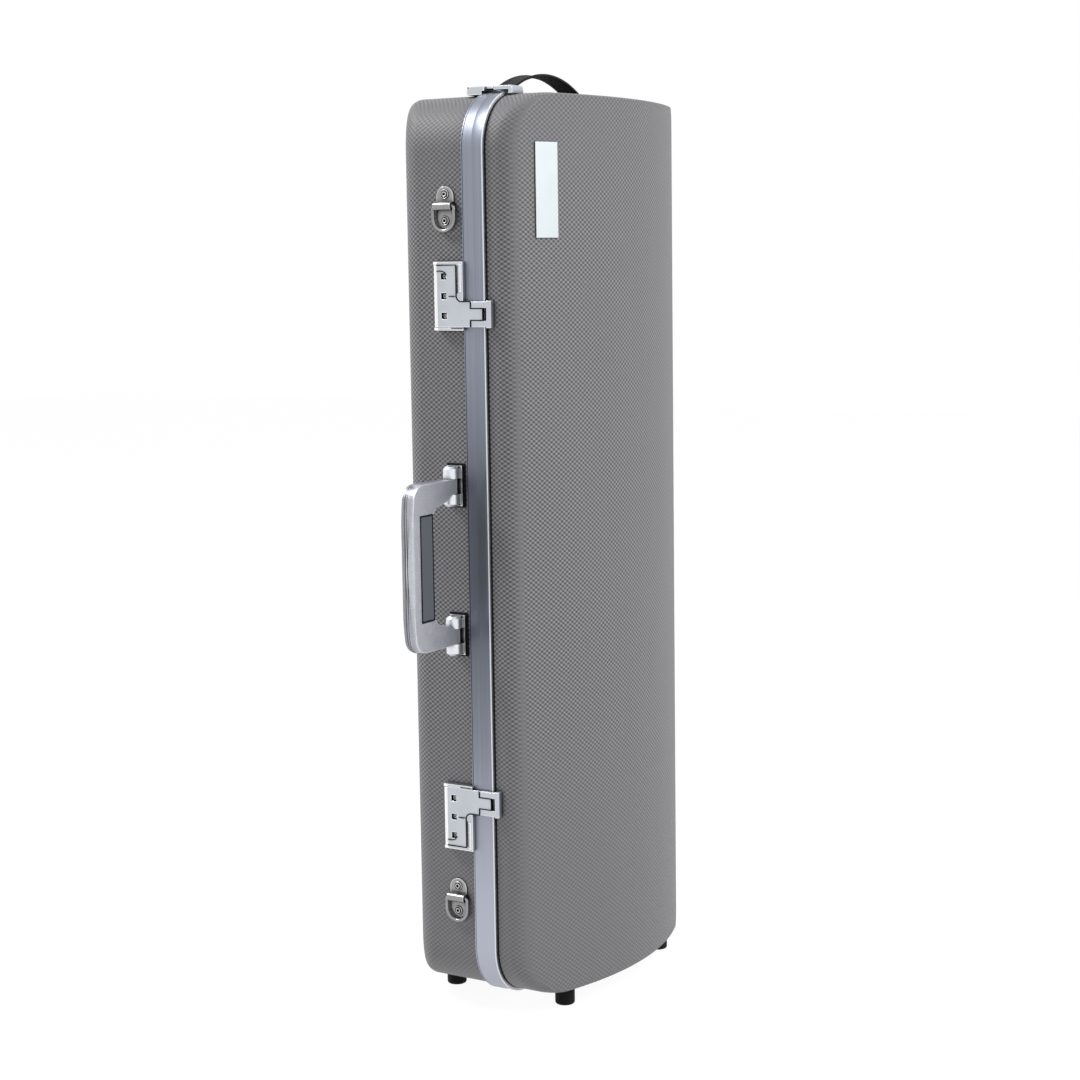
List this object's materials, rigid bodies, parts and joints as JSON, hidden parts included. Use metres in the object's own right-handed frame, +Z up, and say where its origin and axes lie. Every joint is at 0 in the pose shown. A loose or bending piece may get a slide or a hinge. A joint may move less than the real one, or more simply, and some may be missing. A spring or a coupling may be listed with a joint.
{
  "type": "viola case",
  "caption": "Oblong hard case for a viola with an arched base and a hinged lid, a metal closing frame, latches, carrying handle, strap rings and feet.",
  "frame": {"origin": "middle of the bottom of the whole object's box, on the floor under the feet, with the case standing on its end", "axes": "+Z up along the length of the case, +X from the handle side to the hinge side, +Y from the lid to the back of the base"},
  "size_m": [0.3648, 0.1824, 0.8338],
  "materials": {
    "shell_plastic": "warm grey moulded shell with a fine embossed diamond grain",
    "frame_aluminium": "satin anodised extrusion with fine lengthwise ribs",
    "seal_rubber": "matt black",
    "lining_plush": "short dark blue plush",
    "foam_plush": "plush-covered foam",
    "webbing": "black woven webbing",
    "tray_plastic": "matt moulded tray",
    "foot_rubber": "matt black",
    "latch_metal": "satin silver casting",
    "bracket_metal": "satin silver casting",
    "handle_plastic": "silver with a fine metal fleck",
    "grip_rubber": "slate grey, matt",
    "ring_steel": "polished steel",
    "hinge_steel": "satin",
    "pin_steel": "plain steel",
    "badge_metal": "pale satin silver, bare",
    "bow_plastic": "black"
  },
  "bodies": {
    "base": {"base_shell": "shell_plastic", "base_frame": "frame_aluminium", "bracket_pads": "seal_rubber", "base_lining": "lining_plush", "viola_cradle": "foam_plush", "neck_block": "foam_plush", "lower_back_pad": "foam_plush", "upper_back_pad": "foam_plush", "top_strap": "webbing", "neck_strap": "webbing", "near_tray": "tray_plastic", "far_tray": "tray_plastic", "base_feet": "foot_rubber", "upper_latch_housing": "latch_metal", "lower_latch_housing": "latch_metal", "top_latch_housing": "latch_metal", "upper_handle_bracket": "bracket_metal", "lower_handle_bracket": "bracket_metal", "upper_ring_plate": "ring_steel", "lower_ring_plate": "ring_steel", "ring_screws": "ring_steel", "base_hinge_leaves": "hinge_steel", "base_hinge_rivets": "hinge_steel", "strap_plates": "hinge_steel", "hinge_pins": "pin_steel", "handle_pins": "pin_steel", "latch_pins": "pin_steel", "latch_screws": "pin_steel", "bracket_screws": "pin_steel", "strap_screws": "pin_steel", "base_foot_screws": "pin_steel"},
    "lid": {"lid_shell": "shell_plastic", "lid_seal": "seal_rubber", "lid_frame": "frame_aluminium", "lid_lining": "lining_plush", "upper_catch": "latch_metal", "lower_catch": "latch_metal", "top_catch": "latch_metal", "lid_hinge_leaves": "hinge_steel", "lid_hinge_rivets": "hinge_steel", "badge_plate": "badge_metal", "lid_feet": "foot_rubber", "lid_foot_screws": "pin_steel", "near_bow_post": "bow_plastic", "far_bow_post": "bow_plastic", "bow_post_screws": "pin_steel", "bow_tip_sleeves": "foam_plush"},
    "upper_lever": {"upper_latch_lever": "latch_metal"},
    "lower_lever": {"lower_latch_lever": "latch_metal"},
    "top_lever": {"top_latch_lever": "latch_metal"},
    "handle": {"carry_handle": "handle_plastic", "handle_grip": "grip_rubber"},
    "upper_d_ring": {"upper_ring": "ring_steel"},
    "lower_d_ring": {"lower_ring": "ring_steel"},
    "near_button": {"near_bow_button": "bow_plastic"},
    "far_button": {"far_bow_button": "bow_plastic"}
  },
  "joints": [
    {"name": "lid_swing", "type": "hinge", "parent": "base", "child": "lid", "pos_m": [0.17915, -0.03005, 0.4135], "axis": [0, 0, 1], "range_deg": [0, 95]},
    {"name": "upper_lever_swing", "type": "hinge", "parent": "base", "child": "upper_lever", "pos_m": [-0.10935, 0.01755, 0.6387], "axis": [0, 0, -1], "range_deg": [0, 100]},
    {"name": "lower_lever_swing", "type": "hinge", "parent": "base", "child": "lower_lever", "pos_m": [-0.10935, 0.01755, 0.1817], "axis": [0, 0, -1], "range_deg": [0, 100]},
    {"name": "top_lever_swing", "type": "hinge", "parent": "base", "child": "top_lever", "pos_m": [-0.05545, 0.00575, 0.8154], "axis": [-1, 0, 0], "range_deg": [0, 100]},
    {"name": "handle_swing", "type": "hinge", "parent": "base", "child": "handle", "pos_m": [-0.11295, 0.00435, 0.4102], "axis": [0, 0, 1], "range_deg": [-88, 75]},
    {"name": "upper_ring_swing", "type": "hinge", "parent": "base", "child": "upper_d_ring", "pos_m": [-0.10735, 0.01015, 0.7149], "axis": [0, 1, 0], "range_deg": [0, 170]},
    {"name": "lower_ring_swing", "type": "hinge", "parent": "base", "child": "lower_d_ring", "pos_m": [-0.10735, 0.01015, 0.1072], "axis": [0, 1, 0], "range_deg": [0, 170]},
    {"name": "near_button_turn", "type": "hinge", "parent": "lid", "child": "near_button", "pos_m": [-0.0155, -0.04221, 0.0975], "axis": [0.2273, 0.9738, 0], "range_deg": [0, 90]},
    {"name": "far_button_turn", "type": "hinge", "parent": "lid", "child": "far_button", "pos_m": [0.1086, -0.04221, 0.0975], "axis": [-0.2273, 0.9738, 0], "range_deg": [0, 90]}
  ]
}
